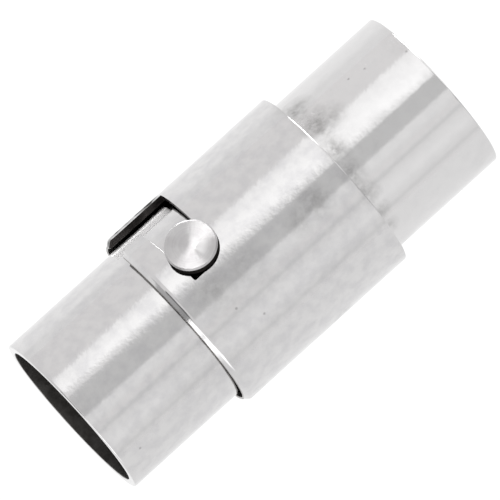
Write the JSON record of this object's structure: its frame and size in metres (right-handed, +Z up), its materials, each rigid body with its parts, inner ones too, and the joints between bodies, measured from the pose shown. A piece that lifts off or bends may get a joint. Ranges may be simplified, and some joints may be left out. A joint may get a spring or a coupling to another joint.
{
  "type": "magnetic clasp",
  "caption": "Closed steel magnetic clasp for a round cord: a plug tube locked in a slotted sleeve by a round-headed pin, with an open cord cup at each end.",
  "frame": {"origin": "middle of the clasp's length, on the surface that the sleeve lies on", "axes": "+X along the clasp, from the plug's cord cup to the sleeve's cord cup; +Z up; the slot's long leg lies on the +Y side"},
  "size_m": [0.0184, 0.008, 0.0085],
  "materials": {
    "steel": "polished stainless steel with fine wear",
    "pin_steel": "stainless steel, face turned on a lathe",
    "magnet": "nickel plated magnet"
  },
  "bodies": {
    "sleeve_half": {"sleeve_barrel": "steel", "sleeve_magnet": "magnet"},
    "plug_half": {"plug_barrel": "steel", "plug_magnet": "magnet", "locking_pin": "pin_steel"}
  },
  "joints": [
    {"name": "twist", "type": "hinge", "parent": "sleeve_half", "child": "plug_half", "pos_m": [0, 0, 0.004], "axis": [-1, 0, 0], "range_deg": [-4, 43.5]}
  ]
}
